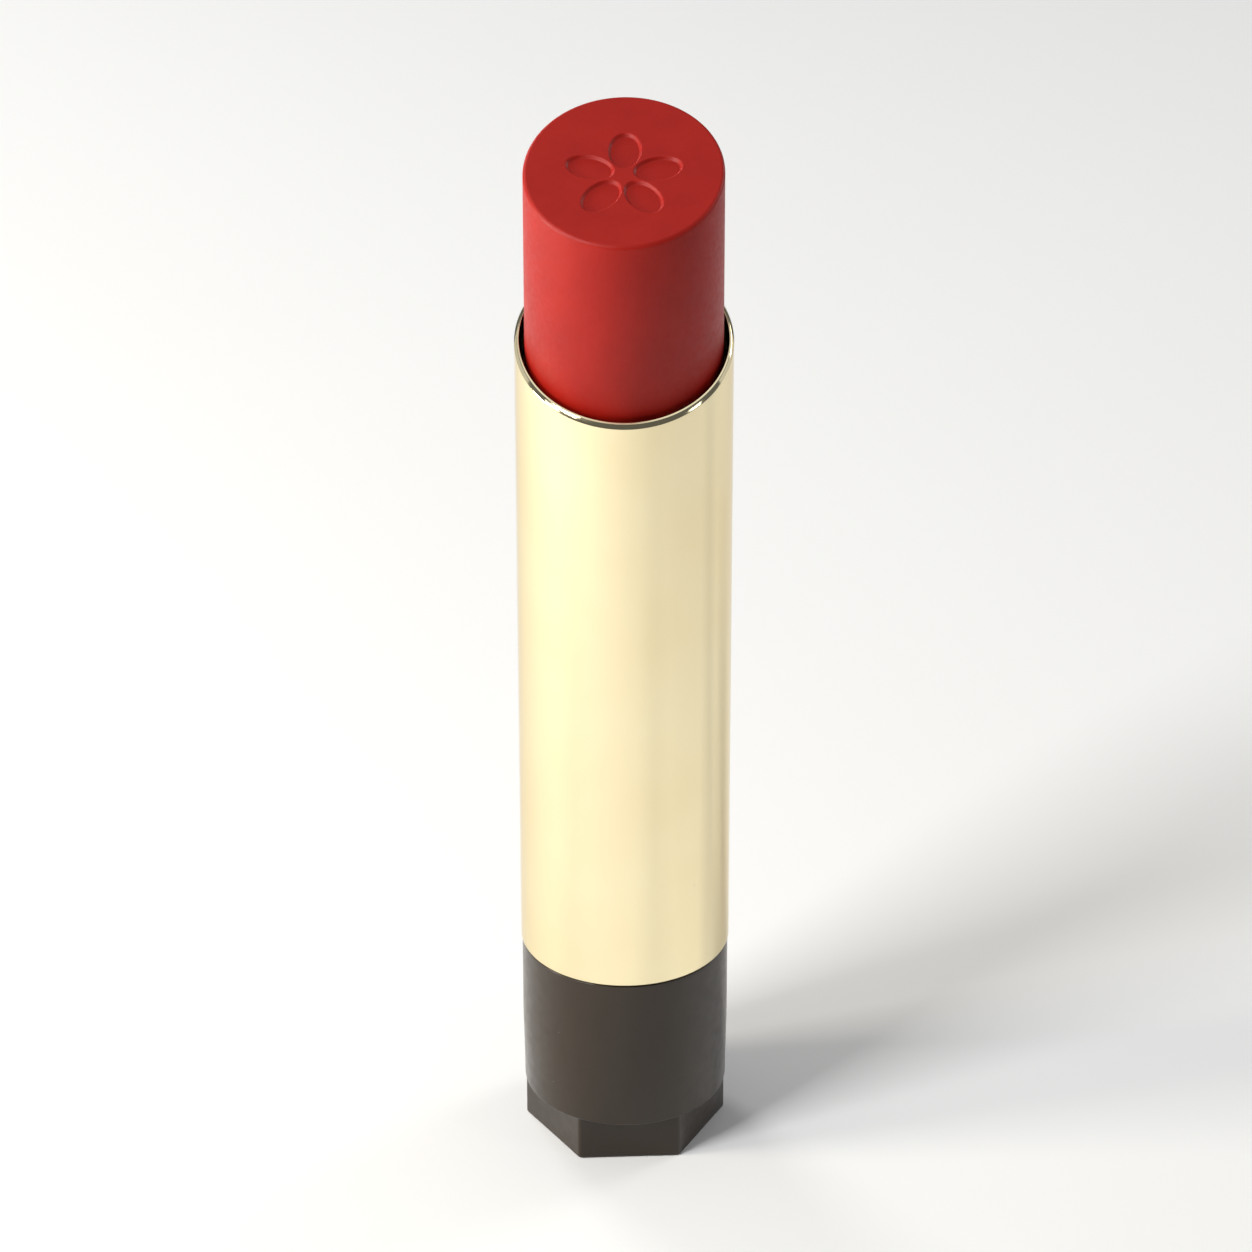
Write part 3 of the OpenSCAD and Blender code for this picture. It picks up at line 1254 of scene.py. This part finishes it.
@dataclass(frozen=True)
class Softbox:
    """A square soft light that faces the cartridge.

    Attributes:
        name: Name of the light.
        bearing: Direction from the axis, in degrees from -Y towards +X.
        elevation: Angle above the table, in degrees.
        size: Side of the square.
        power: Radiant power, in watts.
        distance: Distance from the middle of the cartridge.
        colour: Colour of the light.
    """

    name: str
    bearing: float
    elevation: float
    size: float
    power: float
    distance: float = 0.40
    colour: Colour = (1.0, 1.0, 1.0)

    def make(self, aim: Vector) -> None:
        """Add the light.

        Args:
            aim: The point that it faces.
        """
        light = bpy.data.lights.new(self.name, "AREA")
        light.size = self.size
        light.energy = self.power
        light.color = self.colour
        lamp = bpy.data.objects.new(self.name, light)
        bearing, elevation = math.radians(self.bearing), math.radians(self.elevation)
        out = Vector((math.sin(bearing) * math.cos(elevation), -math.cos(bearing) * math.cos(elevation),
                      math.sin(elevation)))
        lamp.location = aim + out * self.distance
        lamp.rotation_mode = "QUATERNION"
        lamp.rotation_quaternion = (-out).to_track_quat("-Z", "Y")
        bpy.context.scene.collection.objects.link(lamp)


@dataclass
class Studio:
    """A pale table, soft light from all sides, and the camera.

    Attributes:
        aim: The point that the camera and the lights face.
        camera_distance: Distance from the camera to that point.
        camera_pitch: How steeply the camera looks down, in degrees.
        camera_yaw: Small turn of the camera to its side, in degrees.
        camera_roll: Small turn of the camera about its own view, in degrees.
        lens: Focal length, in millimetres.
        sensor: Width of the sensor, in millimetres.
        near: Distance at which the view begins.
        far: Distance at which it ends.
        sky: Colour of the room's even light.
        sky_strength: Radiance of that light.
        table_radius: Radius of the table.
        table_depth: Thickness of the table.
        table_segments: Number of corners of its outline.
        table_colour: Colour of the card on it.
        table_shade: How dark the card's darker patches are.
        softboxes: The lights. The window, the key and the two at the back light the scene, the two
            glints and the two cards only show in the bevel of the rim, and the overhead one in its land.
    """

    aim: Vector = field(default_factory=lambda: Vector((0, 0, 38 * MM)))
    camera_distance: float = 359.5 * MM
    camera_pitch: float = 29.2
    camera_yaw: float = -0.0155
    camera_roll: float = -0.087
    lens: float = 158.0
    sensor: float = 36.0
    near: float = 0.02
    far: float = 10.0
    sky: Colour = (0.93, 0.96, 1.0)
    sky_strength: float = 0.12
    table_radius: float = 1.6
    table_depth: float = 2 * MM
    table_segments: int = 96
    table_colour: Colour = (0.91, 0.91, 0.905)
    table_shade: float = 0.985
    softboxes: tuple[Softbox, ...] = (
        Softbox("window", bearing=-80, elevation=12, size=0.10, power=1.42, colour=(1.0, 0.94, 0.83)),
        Softbox("key", bearing=-52, elevation=46, size=0.11, power=1.02),
        Softbox("glint_left", bearing=-64, elevation=29, size=0.085, power=0.065),
        Softbox("glint_right", bearing=63, elevation=29, size=0.070, power=0.050),
        Softbox("card_left", bearing=-114, elevation=17, size=0.28, power=0.115),
        Softbox("card_right", bearing=114, elevation=17, size=0.28, power=0.115),
        Softbox("back_left", bearing=-150, elevation=30, size=0.12, power=0.36),
        Softbox("back_right", bearing=125, elevation=30, size=0.12, power=0.27),
        Softbox("overhead", bearing=180, elevation=82, size=0.30, power=0.21, distance=0.50),
    )

    def make_camera(self) -> None:
        """Add the camera, looking down at the cartridge from in front."""
        data = bpy.data.cameras.new("camera")
        data.lens = self.lens
        data.sensor_width = self.sensor
        data.clip_start, data.clip_end = self.near, self.far
        camera = bpy.data.objects.new("camera", data)
        pitch = math.radians(self.camera_pitch)
        back = Vector((0, -math.cos(pitch), math.sin(pitch)))
        camera.location = self.aim + back * self.camera_distance
        level = Matrix.Rotation(math.pi / 2 - pitch, 3, "X")
        yaw = Matrix.Rotation(math.radians(self.camera_yaw), 3, "Y")
        roll = Matrix.Rotation(math.radians(self.camera_roll), 3, "Z")
        camera.rotation_euler = (level @ yaw @ roll).to_euler()
        bpy.context.scene.collection.objects.link(camera)
        bpy.context.scene.camera = camera

    def make_table(self) -> None:
        """Add the table, a wide disc of pale card with a faint tooth."""
        g = Graph("pale_card")
        shade = tuple(c * self.table_shade for c in self.table_colour)
        g.colour(g.blend(g.noise(per_mm=0.02, detail=3.0), self.table_colour, shade))
        g.set(Roughness=0.85, Specular_IOR_Level=0.2)
        skin = Loft(even_angles(self.table_segments))
        skin.ring(self.table_radius, -self.table_depth)
        skin.ring(self.table_radius, 0.0)
        table = skin.solid("table")
        table.data.materials.append(g.material)

    def make_world(self) -> None:
        """Fill the room with even, slightly cool light."""
        world = bpy.data.worlds.new("room")
        world.use_nodes = True
        background = world.node_tree.nodes["Background"]
        background.inputs["Color"].default_value = (*self.sky, 1.0)
        background.inputs["Strength"].default_value = self.sky_strength
        bpy.context.scene.world = world
        bpy.context.scene.view_settings.view_transform = "Standard"

    def make(self) -> None:
        """Set up the camera, the table and the lights."""
        self.make_camera()
        self.make_table()
        self.make_world()
        for softbox in self.softboxes:
            softbox.make(self.aim)


# ---------------------------------------------------------------------------------------------
# Assembly
# ---------------------------------------------------------------------------------------------


def main() -> None:
    """Build the studio and the cartridge, sub-assembly by sub-assembly."""
    logging.basicConfig(level=logging.INFO, format="%(name)s: %(message)s")
    Studio().make()
    for assembly in (Base.from_frame(), Sleeve.from_frame(), Bullet.from_frame()):
        assembly.make()


if __name__ == "__main__":
    main()
